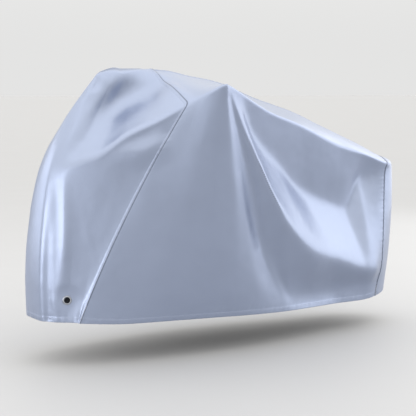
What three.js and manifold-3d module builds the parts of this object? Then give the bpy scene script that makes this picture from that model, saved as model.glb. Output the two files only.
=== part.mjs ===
// A fitted outdoor cover of coated cloth, hanging in the shape of what it was thrown over.
// It is sewn from a front panel, two side panels that meet along the top, and a rear panel.
// A pair of crimped metal eyelets near the front hem takes a lock.
// Millimetres, +Z up, front towards -X, origin under the middle of the box, at the lowest hem.
import * as THREE from 'three';
import { mergeVertices } from 'three/addons/utils/BufferGeometryUtils.js';
import Module from 'manifold-3d';

// Driving sizes
const CLOTH_THICKNESS = 2;
const PIECE_GAP = 0.3;
const FRONT_REACH = 26;
const LENGTH = 1854;
const FAR_BEND_SHARE = 0.8;
const FAR_FOLD_BLEND = 140;

// Eyelet sizes and place, as a section and a level on the cloth
const EYELET = {
  section: 2.7,
  level: 0.142,
  holeRadius: 12,
  clothHoleRadius: 15,
  barrelRadius: 14.6,
  outerFlangeRadius: 18.5,
  innerFlangeRadius: 18,
  flangeThickness: 1.3,
  edgeRounding: 0.6,
  flatRadius: 38,
  blendRadius: 64,
  sides: 32,
};
const EYELET_STRIP = { fromSection: 1.5, toSection: 4, toLevel: 0.26 };

// The cloth is described by sections that each rise from the hem over the edge to the top line.
// back is measured from the front, out from the middle plane, and up from the lowest hem.
// belly swells the wall outwards, dome lifts the lid, and round softens the edge between them.
const SECTION_COLUMNS = [
  'name', 'hemBack', 'hemOut', 'hemUp', 'edgeBack', 'edgeOut', 'edgeUp',
  'topBack', 'topUp', 'belly', 'dome', 'round',
];
const SECTION_ROWS = [
  ['front_middle', -20, 0, 51, 30, 0, 640, 250, 984, 24, 22, 45],
  ['front_flat', -16, 68, 50, 34, 42, 641, 262, 994, 24, 22, 45],
  ['front_corner', 34, 116, 47, 62, 78, 650, 300, 1022, 16, 26, 36],
  ['cheek', 76, 142, 46, 118, 125, 678, 345, 1024, 0, -14, 28],
  ['brow_low', 97, 157, 45, 191, 166, 706, 390, 1016, -4, -16, 26],
  ['brow_middle', 104, 162, 45, 304, 210, 787, 440, 1018, -6, -16, 24],
  ['brow_high', 102, 166, 44, 424, 250, 844, 490, 1024, -8, -8, 22],
  ['front_seam', 104, 170, 44, 535, 288, 907, 535, 1037, -10, 8, 18],
  ['side_front', 298, 220, 30, 572, 314, 931, 600, 1040, 0, -6, 14],
  ['side_middle', 480, 250, 28, 614, 348, 959, 650, 1032, 10, -14, 12],
  ['peak_front', 645, 270, 25, 650, 368, 981, 710, 1020, 8, -18, 10],
  ['peak', 780, 276, 20, 665, 372, 984, 770, 1010, 4, -18, 9],
  ['peak_back', 890, 272, 15, 682, 364, 980, 830, 1000, 0, -16, 10],
  ['fan_low', 1000, 262, 10, 730, 348, 960, 890, 985, -2, -12, 8],
  ['fan_high', 1110, 247, 7, 815, 318, 922, 975, 952, -2, -8, 9],
  ['shoulder_front', 1240, 222, 4, 955, 270, 866, 1090, 912, 0, -2, 11],
  ['shoulder_middle', 1390, 195, 1, 1140, 220, 812, 1240, 868, 2, 4, 12],
  ['shoulder_back', 1516, 190, 0, 1420, 165, 708, 1490, 768, 4, 8, 11],
  ['corner_front', 1568, 187, 3, 1566, 154, 668, 1634, 711, 6, 7, 10],
  ['rear_seam', 1622, 172, 8, 1716, 140, 622, 1770, 650, 8, 6, 12],
  ['rear_quarter', 1738, 92, 14, 1790, 82, 618, 1800, 640, 16, 4, 26],
  ['rear_middle', 1778, 0, 18, 1822, 0, 614, 1800, 632, 22, 0, 30],
];
const FRONT_SEAM = SECTION_ROWS.findIndex((row) => row[0] === 'front_seam');
const REAR_SEAM = SECTION_ROWS.findIndex((row) => row[0] === 'rear_seam');
const LAST_SECTION = SECTION_ROWS.length - 1;
const EDGE_LEVEL = 1;
const TOP_LEVEL = 2;

// How far the wall of a section bends in or out on its way down: in at the hollow, out at the
// swag, and in again at the tuck above the hem. A bow moves its middle towards the back.
// Sections that aren't listed have straight walls.
const BEND_COLUMNS = [
  'hollowLevel', 'hollow', 'swagLevel', 'swag', 'tuckLevel', 'tuck', 'bow',
];
const STRAIGHT_WALL = [0.97, 0, 0.92, 0, 0.14, 0, 0];
const BEND_ROWS = {
  brow_middle: [0.97, 0, 0.92, 0, 0.14, 0, -5],
  brow_high: [0.97, 0, 0.92, 0, 0.14, 0, -13],
  front_seam: [0.97, 0, 0.92, 0, 0.14, 0, -27],
  side_front: [0.97, 0, 0.92, 0, 0.14, 0, -13],
  peak: [0.97, 0, 0.92, 0, 0.14, 0, 0],
  peak_back: [0.98, 0, 0.95, 3, 0.5, -4, 0],
  fan_low: [0.93, -6, 0.8, 18, 0.35, -13, 0],
  fan_high: [0.83, -38, 0.46, 64, 0.08, -16, 0],
  shoulder_front: [0.745, -52, 0.305, 72, 0.07, -14, 0],
  shoulder_middle: [0.615, -70, 0.255, 66, 0.085, -12, 0],
  shoulder_back: [0.6, -54, 0.205, 66, 0.12, 0, 0],
  corner_front: [0.84, -54, 0.19, 58, 0.12, 4, 0],
  rear_seam: [0.95, -16, 0.2, 18, 0.12, 0, 0],
  rear_quarter: [0.97, 0, 0.2, 0, 0.1, 0, 0],
};
const BEND_SOFTNESS = 0.045;

// Each fold runs through places given as section, level, height, and half width on its left
// and on its right, seen from outside along the way it runs. A trough's height is below 0.
// The right side of the cover repeats each fold at its own share.
const FOLDS = [
  {
    name: 'slope ridge',
    farShare: 0.7,
    places: [
      [2.65, 1.25, 2, 34, 30],
      [2.67, 1.4, 8, 44, 38],
      [2.7, 1.62, 15, 44, 48],
      [2.85, 1.76, 22, 50, 58],
      [3.2, 1.89, 30, 60, 68],
      [3.85, 1.98, 34, 72, 76],
      [4.6, 2, 34, 80, 80],
      [5.65, 2, 29, 80, 80],
      [6.6, 2, 16, 76, 76],
      [7.4, 2, 5, 72, 72],
      [8.2, 2, 0, 70, 70],
    ],
  },
  {
    name: 'slope trough',
    farShare: 0.7,
    places: [
      [1.3, 1.24, -1, 22, 22],
      [1.75, 1.43, -5, 24, 24],
      [2.1, 1.64, -4, 24, 24],
      [2.3, 1.8, -1, 22, 22],
    ],
  },
  {
    name: 'under the brow',
    farShare: 0.8,
    places: [
      [3, 0.97, 0, 20, 30],
      [4.15, 0.94, -1, 20, 30],
      [5.35, 0.95, -2, 18, 26],
      [6.7, 0.985, 0, 14, 20],
    ],
  },
  {
    name: 'second brow',
    farShare: 0.6,
    places: [
      [4.4, 0.93, 0, 30, 40],
      [5.2, 0.88, 6, 36, 54],
      [5.8, 0.85, 12, 38, 54],
      [6.4, 0.84, 10, 36, 50],
      [6.9, 0.86, 0, 30, 30],
    ],
  },
  {
    name: 'corner strip',
    farShare: 0.8,
    places: [
      [2.4, 0.98, 2, 44, 16],
      [2.5, 0.72, 8, 46, 18],
      [2.5, 0.5, 10, 48, 19],
      [2.45, 0.3, 6, 48, 24],
      [2.4, 0.16, 2, 48, 30],
      [2.4, 0.04, 1, 48, 30],
    ],
  },
  {
    name: 'front valley',
    farShare: 0.7,
    places: [
      [1.5, 0.78, 0, 20, 20],
      [1.47, 0.5, -5, 20, 20],
      [1.45, 0.3, -7, 20, 20],
      [1.5, 0.02, -7, 20, 20],
    ],
  },
  {
    name: 'side streak',
    farShare: 0.6,
    places: [
      [3.3, 0.78, 0, 16, 16],
      [4.1, 0.5, 1, 16, 16],
      [5.45, 0.29, 0, 12, 12],
    ],
  },
  {
    name: 'peak crease',
    farShare: 0.7,
    places: [
      [11.95, 0.95, -3, 8, 14],
      [12.3, 0.883, -5, 8, 24],
      [12.75, 0.742, -9, 10, 36],
      [12.95, 0.592, -12, 12, 52],
      [13, 0.442, -13, 14, 64],
      [13, 0.25, -11, 20, 70],
      [13.3, 0.083, -5, 28, 70],
    ],
  },
  {
    name: 'slope scoop',
    farShare: 0.7,
    places: [
      [2.9, 1.3, -2, 36, 44],
      [3.05, 1.46, -7, 42, 60],
      [3.35, 1.57, -12, 48, 72],
      [3.8, 1.64, -16, 54, 84],
      [4.4, 1.68, -19, 56, 90],
      [5, 1.7, -19, 54, 90],
      [5.65, 1.7, -18, 50, 84],
      [6.3, 1.69, -15, 44, 74],
      [7, 1.67, -9, 38, 64],
      [7.7, 1.64, 0, 34, 56],
    ],
  },
];
const FOLD_STEPS = 12;

// Grid of the cloth: steps between neighbouring sections, and levels from the hem to the top
const SECTION_STEPS = [3, 4, 4, 3, 3, 2, 2, 2, 2, 2, 2, 2, 3, 3, 3, 3, 3, 2, 2, 3, 3];
const LEVEL_BANDS = [
  { upTo: 0.26, steps: 8 },
  { upTo: 0.9, steps: 9 },
  { upTo: 1, steps: 3 },
  { upTo: 1.12, steps: 3 },
  { upTo: 2, steps: 7 },
];

const COLOURS = {
  cloth: { color: 0x9ba7c4, roughness: 0.4, metalness: 0.35 },
  eyelet: { color: 0xa9afba, roughness: 0.3, metalness: 1 },
};

const smoothStep = (x) => THREE.MathUtils.smoothstep(x, 0, 1);

// Slopes of a curve through evenly spaced rows that never swings past a row
function steadySlopes(rows) {
  const last = rows.length - 1;
  return rows.map((row, i) =>
    row.map((value, column) => {
      const before = i > 0 ? value - rows[i - 1][column] : 0;
      const after = i < last ? rows[i + 1][column] - value : 0;
      if (i === 0) return after;
      if (i === last) return before;
      return before * after > 0 ? (2 * before * after) / (before + after) : 0;
    }),
  );
}

// The outline crosses the middle plane squarely, so there only the out columns keep a slope
const COLUMNS = [...SECTION_COLUMNS.slice(1), ...BEND_COLUMNS];
const SECTION_VALUES = SECTION_ROWS.map(([name, ...values]) => [
  ...values,
  ...(BEND_ROWS[name] ?? STRAIGHT_WALL),
]);
const SECTION_SLOPES = steadySlopes(SECTION_VALUES);
for (const end of [0, LAST_SECTION]) {
  COLUMNS.forEach((column, i) => {
    if (!column.endsWith('Out')) SECTION_SLOPES[end][i] = 0;
  });
}

function hermite(a, slopeA, b, slopeB, t) {
  const tt = t * t;
  const ttt = tt * t;
  return (
    (2 * ttt - 3 * tt + 1) * a +
    (ttt - 2 * tt + t) * slopeA +
    (3 * tt - 2 * ttt) * b +
    (ttt - tt) * slopeB
  );
}

function sectionAt(section) {
  const place = THREE.MathUtils.clamp(section, 0, LAST_SECTION);
  const i = Math.min(Math.floor(place), LAST_SECTION - 1);
  const values = SECTION_VALUES[i].map((value, column) =>
    hermite(
      value,
      SECTION_SLOPES[i][column],
      SECTION_VALUES[i + 1][column],
      SECTION_SLOPES[i + 1][column],
      place - i,
    ),
  );
  return Object.fromEntries(COLUMNS.map((column, k) => [column, values[k]]));
}

// Horizontal direction away from the cover at a section
function outwardAt(section) {
  const reach = 0.05;
  const after = sectionAt(section + reach);
  const before = sectionAt(section - reach);
  const alongBack = after.hemBack - before.hemBack + after.edgeBack - before.edgeBack;
  const alongOut = after.hemOut - before.hemOut + after.edgeOut - before.edgeOut;
  return new THREE.Vector3(-alongOut, alongBack, 0).normalize();
}

// Offset of a bent wall at height s, from 0 at the hem to 1 at the edge
function wallBend(row, s) {
  const places = [0, row.tuckLevel, row.swagLevel, row.hollowLevel, 1];
  const offsets = [0, row.tuck, row.swag, row.hollow, 0];
  const slopes = places
    .slice(1)
    .map((place, k) => (offsets[k + 1] - offsets[k]) / (place - places[k]));
  const softLine = (at) =>
    slopes.reduce((total, slope, k) => {
      if (k === 0) return ((slope + slopes.at(-1)) / 2) * at;
      const soft = Math.hypot(at - places[k], BEND_SOFTNESS);
      return total + ((slope - slopes[k - 1]) / 2) * (soft - places[k]);
    }, 0);
  return softLine(s) - softLine(0) * (1 - s) - softLine(1) * s;
}

// A point of the unfolded form, as back, out and up
function formPoint(section, level, bendShare = 1) {
  const row = sectionAt(section);
  const hem = new THREE.Vector3(row.hemBack, row.hemOut, row.hemUp);
  const edge = new THREE.Vector3(row.edgeBack, row.edgeOut, row.edgeUp);
  const top = new THREE.Vector3(row.topBack, 0, row.topUp);
  const chord = top.clone().sub(edge);
  const lidLength = chord.length();
  const wallLength = edge.distanceTo(hem);
  const along = chord.clone().divideScalar(lidLength);
  const upright = new THREE.Vector3(0, 0, 1);
  const lift = along.clone().cross(upright).cross(along).normalize();
  const outward = outwardAt(section);
  const wall = (s) => {
    const middle = 4 * s * (1 - s);
    const offset = row.belly * middle + bendShare * wallBend(row, s);
    const point = hem.clone().lerp(edge, s).addScaledVector(outward, offset);
    point.x += row.bow * middle;
    return point;
  };
  const lid = (s) =>
    edge.clone().lerp(top, s).addScaledVector(lift, row.dome * 4 * s * (1 - s));
  const past = level - EDGE_LEVEL;
  const distance = past * (past < 0 ? wallLength : lidLength);
  const round = Math.min(row.round, 0.45 * lidLength);
  if (Math.abs(distance) >= round) return past < 0 ? wall(level) : lid(past);
  const t = (distance + round) / (2 * round);
  return wall(1 - round / wallLength)
    .multiplyScalar((1 - t) ** 2)
    .addScaledVector(edge, 2 * t * (1 - t))
    .addScaledVector(lid(round / lidLength), t * t);
}

// Outward normal of the unfolded form, lying in the middle plane wherever the form meets it
function formNormal(section, level, bendShare = 1) {
  const reach = 0.004;
  const alongSection = formPoint(section + reach, level, bendShare).sub(
    formPoint(Math.max(section - reach, 0), level, bendShare),
  );
  const alongLevel = formPoint(section, Math.min(level + reach, TOP_LEVEL), bendShare).sub(
    formPoint(section, Math.max(level - reach, 0), bendShare),
  );
  const normal = alongLevel.cross(alongSection);
  if (section === 0 || section === LAST_SECTION || level === TOP_LEVEL) normal.y = 0;
  return normal.normalize();
}

// Numbers on a smooth curve through rows of numbers, with t from 0 to 1
function smoothRun(rows, t) {
  const last = rows.length - 1;
  const i = Math.min(Math.floor(t * last), last - 1);
  const slope = (k, column) => {
    const [from, to] = [Math.max(k - 1, 0), Math.min(k + 1, last)];
    return (rows[to][column] - rows[from][column]) / (to - from);
  };
  return rows[i].map((value, column) =>
    hermite(value, slope(i, column), rows[i + 1][column], slope(i + 1, column), t * last - i),
  );
}

function foldPath({ places, farShare }, bendShare) {
  const count = FOLD_STEPS * (places.length - 1);
  const stops = Array.from({ length: count + 1 }, (_, i) => {
    const [section, level, height, leftWidth, rightWidth] = smoothRun(places, i / count);
    return {
      point: formPoint(section, level, bendShare),
      normal: formNormal(section, level, bendShare),
      height,
      leftWidth,
      rightWidth,
    };
  });
  return { stops, farShare };
}
const NEAR_FOLDS = FOLDS.map((fold) => foldPath(fold, 1));
const FAR_FOLDS = FOLDS.map((fold) => foldPath(fold, FAR_BEND_SHARE));

// Height of one fold at a point: a soft bump square to the nearest part of its path
function foldHeight(stops, point) {
  const nearest = { distance: Infinity, height: 0, width: 1 };
  const step = new THREE.Vector3();
  const away = new THREE.Vector3();
  for (let i = 0; i < stops.length - 1; i++) {
    const [from, to] = [stops[i], stops[i + 1]];
    step.subVectors(to.point, from.point);
    away.subVectors(point, from.point);
    const t = THREE.MathUtils.clamp(away.dot(step) / Math.max(step.lengthSq(), 1e-9), 0, 1);
    const distance = away.addScaledVector(step, -t).length();
    if (distance < nearest.distance) {
      const left = step.cross(from.normal).normalize();
      const toLeft = 0.5 + (0.5 * away.dot(left)) / (distance + 1e-6);
      const between = (name) => THREE.MathUtils.lerp(from[name], to[name], t);
      nearest.distance = distance;
      nearest.height = between('height');
      nearest.width = THREE.MathUtils.lerp(between('rightWidth'), between('leftWidth'), toLeft);
    }
  }
  return nearest.height * Math.exp(-((nearest.distance / nearest.width) ** 2));
}

// The cloth lies flat around the eyelet, where the crimped flanges press it
const eyeletCentre = formPoint(EYELET.section, EYELET.level);
const eyeletNormal = formNormal(EYELET.section, EYELET.level);
function pressFlat(point) {
  const off = point.clone().sub(eyeletCentre);
  const height = off.dot(eyeletNormal);
  const radius = off.addScaledVector(eyeletNormal, -height).length();
  const share = smoothStep(
    (EYELET.blendRadius - radius) / (EYELET.blendRadius - EYELET.flatRadius),
  );
  return point.addScaledVector(eyeletNormal, -height * share);
}

function clothPoint(section, level, isFar) {
  const bendShare = isFar ? FAR_BEND_SHARE : 1;
  const point = formPoint(section, level, bendShare);
  const blend = isFar ? smoothStep(point.y / FAR_FOLD_BLEND) : 0;
  const total = (isFar ? FAR_FOLDS : NEAR_FOLDS).reduce(
    (sum, { stops, farShare }) =>
      sum + (1 + (farShare - 1) * blend) * foldHeight(stops, point),
    0,
  );
  const normal = formNormal(section, level, bendShare);
  return pressFlat(point.addScaledVector(normal, total));
}

const evenly = (count, from, to) =>
  Array.from({ length: count }, (_, i) => from + ((to - from) * (i + 1)) / count);
const SECTION_PLACES = [0];
SECTION_STEPS.forEach((steps, i) => SECTION_PLACES.push(...evenly(steps, i, i + 1)));
const LEVELS = [0];
LEVEL_BANDS.forEach(({ upTo, steps }) => LEVELS.push(...evenly(steps, LEVELS.at(-1), upTo)));
const LAST_COLUMN = SECTION_PLACES.length - 1;
const TOP_ROW = LEVELS.length - 1;
const columnOf = (section) =>
  SECTION_PLACES.findIndex((place) => place > section - 0.01);
const rowOf = (level) => LEVELS.findIndex((place) => place > level - 0.001);

const toModel = (point, isFar) =>
  new THREE.Vector3(
    point.x + FRONT_REACH - LENGTH / 2,
    isFar ? point.y : -point.y,
    point.z,
  );

// Every grid point of both halves, with its outer place and its place on the inner face.
// The halves share one point wherever they meet in the middle plane.
const sharedKey = (isFar, i, j) => {
  const inMiddle = i === 0 || i === LAST_COLUMN || j === TOP_ROW;
  return `${isFar && !inMiddle ? 'far' : 'near'} ${i} ${j}`;
};
const CLOTH = new Map();
for (const isFar of [false, true]) {
  const outer = SECTION_PLACES.map((section) =>
    LEVELS.map((level) => clothPoint(section, level, isFar)),
  );
  SECTION_PLACES.forEach((_, i) => {
    LEVELS.forEach((__, j) => {
      const key = sharedKey(isFar, i, j);
      if (CLOTH.has(key)) return;
      const alongSection = outer[Math.min(i + 1, LAST_COLUMN)][j]
        .clone()
        .sub(outer[Math.max(i - 1, 0)][j]);
      const alongLevel = outer[i][Math.min(j + 1, TOP_ROW)]
        .clone()
        .sub(outer[i][Math.max(j - 1, 0)]);
      const normal = alongLevel.cross(alongSection);
      if (i === 0 || i === LAST_COLUMN || j === TOP_ROW) normal.y = 0;
      normal.normalize();
      const inner = outer[i][j].clone().addScaledVector(normal, -CLOTH_THICKNESS);
      CLOTH.set(key, { outer: toModel(outer[i][j], isFar), inner: toModel(inner, isFar) });
    });
  });
}

// Grid cells of one half for which the test holds, as corners in order round the outer face
function cellsWhere(isFar, test) {
  const cells = [];
  for (let i = 0; i < LAST_COLUMN; i++) {
    for (let j = 0; j < TOP_ROW; j++) {
      if (!test(i, j)) continue;
      const corners = [[i, j], [i + 1, j], [i + 1, j + 1], [i, j + 1]];
      const keys = corners.map(([column, row]) => sharedKey(isFar, column, row));
      cells.push(isFar ? keys.reverse() : keys);
    }
  }
  return cells;
}

// Ways from each rim point into the sheet, so that the rim can stand back by half a gap
function rimSteps(cells, rimKeys) {
  const steps = new Map();
  for (const cell of cells) {
    const middle = new THREE.Vector3();
    for (const key of cell) middle.addScaledVector(CLOTH.get(key).outer, 1 / cell.length);
    for (const key of cell.filter((corner) => rimKeys.has(corner))) {
      const inward = middle.clone().sub(CLOTH.get(key).outer).normalize();
      steps.set(key, (steps.get(key) ?? new THREE.Vector3()).add(inward));
    }
  }
  return steps;
}

// A closed sheet with an outer face, an inner face and a rim round its open edges
function sheetGeometry(cells) {
  const edges = new Set();
  const edgeOf = (from, to) => `${from}|${to}`;
  for (const cell of cells) {
    cell.forEach((key, i) => edges.add(edgeOf(key, cell[(i + 1) % cell.length])));
  }
  const rim = [];
  for (const cell of cells) {
    cell.forEach((key, i) => {
      const next = cell[(i + 1) % cell.length];
      if (!edges.has(edgeOf(next, key))) rim.push([key, next]);
    });
  }
  const steps = rimSteps(cells, new Set(rim.flat()));
  const placed = (key, face) => {
    const point = CLOTH.get(key)[face].clone();
    const step = steps.get(key);
    if (!step) return point;
    const across = CLOTH.get(key).outer.clone().sub(CLOTH.get(key).inner).normalize();
    const flat = step.clone().addScaledVector(across, -step.dot(across)).normalize();
    return point.addScaledVector(flat, PIECE_GAP / 2);
  };
  const positions = [];
  const face = (...points) => points.forEach((point) => positions.push(...point.toArray()));
  for (const [a, b, c, d] of cells) {
    const outer = [a, b, c, d].map((key) => placed(key, 'outer'));
    const inner = [a, b, c, d].map((key) => placed(key, 'inner'));
    face(outer[0], outer[1], outer[2]);
    face(outer[0], outer[2], outer[3]);
    face(inner[0], inner[2], inner[1]);
    face(inner[0], inner[3], inner[2]);
  }
  for (const [from, to] of rim) {
    face(placed(from, 'outer'), placed(from, 'inner'), placed(to, 'inner'));
    face(placed(from, 'outer'), placed(to, 'inner'), placed(to, 'outer'));
  }
  const geometry = new THREE.BufferGeometry();
  geometry.setAttribute('position', new THREE.Float32BufferAttribute(positions, 3));
  return geometry;
}

// Crimped eyelet, turned about its own axis, with the cloth between its two flanges
function eyeletGeometry() {
  const outerTop = PIECE_GAP + EYELET.flangeThickness;
  const innerTop = -CLOTH_THICKNESS - PIECE_GAP;
  const innerFoot = innerTop - EYELET.flangeThickness;
  const soft = EYELET.edgeRounding;
  const profile = [
    [EYELET.holeRadius, innerFoot + soft],
    [EYELET.holeRadius + soft, innerFoot],
    [EYELET.innerFlangeRadius, innerFoot],
    [EYELET.innerFlangeRadius, innerTop],
    [EYELET.barrelRadius, innerTop],
    [EYELET.barrelRadius, PIECE_GAP],
    [EYELET.outerFlangeRadius, PIECE_GAP],
    [EYELET.outerFlangeRadius, outerTop - soft],
    [EYELET.outerFlangeRadius - soft, outerTop],
    [EYELET.holeRadius + soft, outerTop],
    [EYELET.holeRadius, outerTop - soft],
    [EYELET.holeRadius, innerFoot + soft],
  ].map(([radius, height]) => new THREE.Vector2(radius, height));
  return new THREE.LatheGeometry(profile, EYELET.sides);
}

function eyeletPlace(isFar) {
  const centre = toModel(eyeletCentre, isFar);
  const axis = eyeletNormal.clone();
  if (!isFar) axis.y = -axis.y;
  const turn = new THREE.Quaternion().setFromUnitVectors(new THREE.Vector3(0, 1, 0), axis);
  return { centre, turn };
}

const wasm = await Module();
wasm.setup();

function toSolid(geometry) {
  const bare = geometry.clone();
  bare.deleteAttribute('normal');
  bare.deleteAttribute('uv');
  const merged = mergeVertices(bare, 1e-4);
  return new wasm.Manifold(
    new wasm.Mesh({
      numProp: 3,
      vertProperties: merged.attributes.position.array,
      triVerts: new Uint32Array(merged.index.array),
    }),
  );
}

function toGeometry(solid) {
  const mesh = solid.getMesh();
  const geometry = new THREE.BufferGeometry();
  geometry.setAttribute('position', new THREE.BufferAttribute(mesh.vertProperties, 3));
  geometry.setIndex(new THREE.BufferAttribute(mesh.triVerts, 1));
  return geometry;
}

function punched(geometry, isFar) {
  const { centre, turn } = eyeletPlace(isFar);
  const punchLength = 20;
  const punch = new THREE.CylinderGeometry(
    EYELET.clothHoleRadius,
    EYELET.clothHoleRadius,
    punchLength,
    EYELET.sides,
  );
  punch.applyQuaternion(turn).translate(centre.x, centre.y, centre.z);
  return toGeometry(toSolid(geometry).subtract(toSolid(punch)));
}

function meshOf(name, geometry, finish) {
  const shown = geometry.clone();
  shown.computeVertexNormals();
  const mesh = new THREE.Mesh(shown, new THREE.MeshStandardMaterial(COLOURS[finish]));
  mesh.name = name;
  return mesh;
}

const seamColumns = { front: columnOf(FRONT_SEAM), rear: columnOf(REAR_SEAM) };
const strip = {
  from: columnOf(EYELET_STRIP.fromSection),
  to: columnOf(EYELET_STRIP.toSection),
  top: rowOf(EYELET_STRIP.toLevel),
};
const inStrip = (i, j) => i >= strip.from && i < strip.to && j < strip.top;
const inFront = (i, j) => i < seamColumns.front && !inStrip(i, j);
const inSide = (i) => i >= seamColumns.front && i < seamColumns.rear;
const inRear = (i) => i >= seamColumns.rear;
const bothHalves = (test) => [...cellsWhere(false, test), ...cellsWhere(true, test)];

const cover = new THREE.Group();
cover.name = 'motorcycle_cover';
cover.add(meshOf('front_panel', sheetGeometry(bothHalves(inFront)), 'cloth'));
cover.add(meshOf('rear_panel', sheetGeometry(bothHalves(inRear)), 'cloth'));
for (const [side, isFar] of [['left', false], ['right', true]]) {
  cover.add(meshOf(`${side}_panel`, sheetGeometry(cellsWhere(isFar, inSide)), 'cloth'));
  const stripSheet = sheetGeometry(cellsWhere(isFar, inStrip));
  cover.add(meshOf(`${side}_eyelet_strip`, punched(stripSheet, isFar), 'cloth'));
  const eyelet = meshOf(`${side}_eyelet`, eyeletGeometry(), 'eyelet');
  const { centre, turn } = eyeletPlace(isFar);
  eyelet.position.copy(centre);
  eyelet.quaternion.copy(turn);
  cover.add(eyelet);
}

export default cover;
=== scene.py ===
# A fitted outdoor cover of coated cloth, hanging in its draped shape.
# A front panel, two side panels and a rear panel with lapped seams, a turned hem and two eyelets.
import math
from functools import cache

import bpy
import numpy as np
from mathutils import Euler, Matrix, Vector, noise


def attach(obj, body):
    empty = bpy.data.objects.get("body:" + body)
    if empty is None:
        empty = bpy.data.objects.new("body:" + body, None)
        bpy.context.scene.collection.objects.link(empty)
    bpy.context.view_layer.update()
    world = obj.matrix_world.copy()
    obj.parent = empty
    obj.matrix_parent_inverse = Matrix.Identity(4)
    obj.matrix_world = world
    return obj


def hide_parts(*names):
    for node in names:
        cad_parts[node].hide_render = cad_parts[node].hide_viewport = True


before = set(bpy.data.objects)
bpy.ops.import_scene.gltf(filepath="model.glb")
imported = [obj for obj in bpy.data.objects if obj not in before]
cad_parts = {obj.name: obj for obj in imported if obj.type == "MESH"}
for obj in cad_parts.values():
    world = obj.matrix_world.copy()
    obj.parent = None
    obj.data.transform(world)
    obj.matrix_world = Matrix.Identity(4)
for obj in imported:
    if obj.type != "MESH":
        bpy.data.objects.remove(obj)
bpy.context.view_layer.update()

bl_info = {
    "name": "Fitted Cloth Cover",
    "version": (1, 0, 0),
    "blender": (4, 5, 0),
    "location": "View3D > Sidebar > Cover",
    "description": "Builds a draped outdoor cover from sections and folds, with its seams and eyelets",
    "category": "Add Mesh",
}

MM = 0.001

# The form of the cloth, in millimetres.
# A section rises from the hem over the edge to the top line, where its level is 0, 1 and 2.
# back is from the front, out from the middle plane, up from the lowest hem. belly swells the wall,
# dome lifts the lid, and round softens the edge between them.
SECTION_COLUMNS = (
    "hem_back", "hem_out", "hem_up", "edge_back", "edge_out", "edge_up",
    "top_back", "top_up", "belly", "dome", "round",
)
SECTION_ROWS = (
    ("front_middle", -20, 0, 51, 30, 0, 640, 250, 984, 24, 22, 45),
    ("front_flat", -16, 68, 50, 34, 42, 641, 262, 994, 24, 22, 45),
    ("front_corner", 34, 116, 47, 62, 78, 650, 300, 1022, 16, 26, 36),
    ("cheek", 76, 142, 46, 118, 125, 678, 345, 1024, 0, -14, 28),
    ("brow_low", 97, 157, 45, 191, 166, 706, 390, 1016, -4, -16, 26),
    ("brow_middle", 104, 162, 45, 304, 210, 787, 440, 1018, -6, -16, 24),
    ("brow_high", 102, 166, 44, 424, 250, 844, 490, 1024, -8, -8, 22),
    ("front_seam", 104, 170, 44, 535, 288, 907, 535, 1037, -10, 8, 18),
    ("side_front", 298, 220, 30, 572, 314, 931, 600, 1040, 0, -6, 14),
    ("side_middle", 480, 250, 28, 614, 348, 959, 650, 1032, 10, -14, 12),
    ("peak_front", 645, 270, 25, 650, 368, 981, 710, 1020, 8, -18, 10),
    ("peak", 780, 276, 20, 665, 372, 984, 770, 1010, 4, -18, 9),
    ("peak_back", 890, 272, 15, 682, 364, 980, 830, 1000, 0, -16, 10),
    ("fan_low", 1000, 262, 10, 730, 348, 960, 890, 985, -2, -12, 8),
    ("fan_high", 1110, 247, 7, 815, 318, 922, 975, 952, -2, -8, 9),
    ("shoulder_front", 1240, 222, 4, 955, 270, 866, 1090, 912, 0, -2, 11),
    ("shoulder_middle", 1390, 195, 1, 1140, 220, 812, 1240, 868, 2, 4, 12),
    ("shoulder_back", 1516, 190, 0, 1420, 165, 708, 1490, 768, 4, 8, 11),
    ("corner_front", 1568, 187, 3, 1566, 154, 668, 1634, 711, 6, 7, 10),
    ("rear_seam", 1622, 172, 8, 1716, 140, 622, 1770, 650, 8, 6, 12),
    ("rear_quarter", 1738, 92, 14, 1790, 82, 618, 1800, 640, 16, 4, 26),
    ("rear_middle", 1778, 0, 18, 1822, 0, 614, 1800, 632, 22, 0, 30),
)
SECTION_NAMES = [row[0] for row in SECTION_ROWS]
FRONT_SEAM = SECTION_NAMES.index("front_seam")
REAR_SEAM = SECTION_NAMES.index("rear_seam")
LAST_SECTION = len(SECTION_ROWS) - 1

# How far the wall of a section bends on its way down: in at the hollow, out at the swag, and in at
# the tuck above the hem. A bow moves its middle back. Other sections have straight walls.
BEND_COLUMNS = ("hollow_level", "hollow", "swag_level", "swag", "tuck_level", "tuck", "bow")
BEND_ROWS = {
    "brow_middle": (0.97, 0, 0.92, 0, 0.14, 0, -5),
    "brow_high": (0.97, 0, 0.92, 0, 0.14, 0, -13),
    "front_seam": (0.97, 0, 0.92, 0, 0.14, 0, -27),
    "side_front": (0.97, 0, 0.92, 0, 0.14, 0, -13),
    "peak": (0.97, 0, 0.92, 0, 0.14, 0, 0),
    "peak_back": (0.98, 0, 0.95, 3, 0.5, -4, 0),
    "fan_low": (0.93, -6, 0.8, 18, 0.35, -13, 0),
    "fan_high": (0.83, -38, 0.46, 64, 0.08, -16, 0),
    "shoulder_front": (0.745, -52, 0.305, 72, 0.07, -14, 0),
    "shoulder_middle": (0.615, -70, 0.255, 66, 0.085, -12, 0),
    "shoulder_back": (0.6, -54, 0.205, 66, 0.12, 0, 0),
    "corner_front": (0.84, -54, 0.19, 58, 0.12, 4, 0),
    "rear_seam": (0.95, -16, 0.2, 18, 0.12, 0, 0),
    "rear_quarter": (0.97, 0, 0.20, 0, 0.10, 0, 0),
}
STRAIGHT = (0.97, 0, 0.92, 0, 0.14, 0, 0)
# How gently a wall turns at its bends, as a share of its height
BEND_SOFTNESS = 0.045
FAR_BEND_SHARE = 0.8
# The round edge takes up no more than this share of a lid
MOST_ROUND = 0.45

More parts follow.
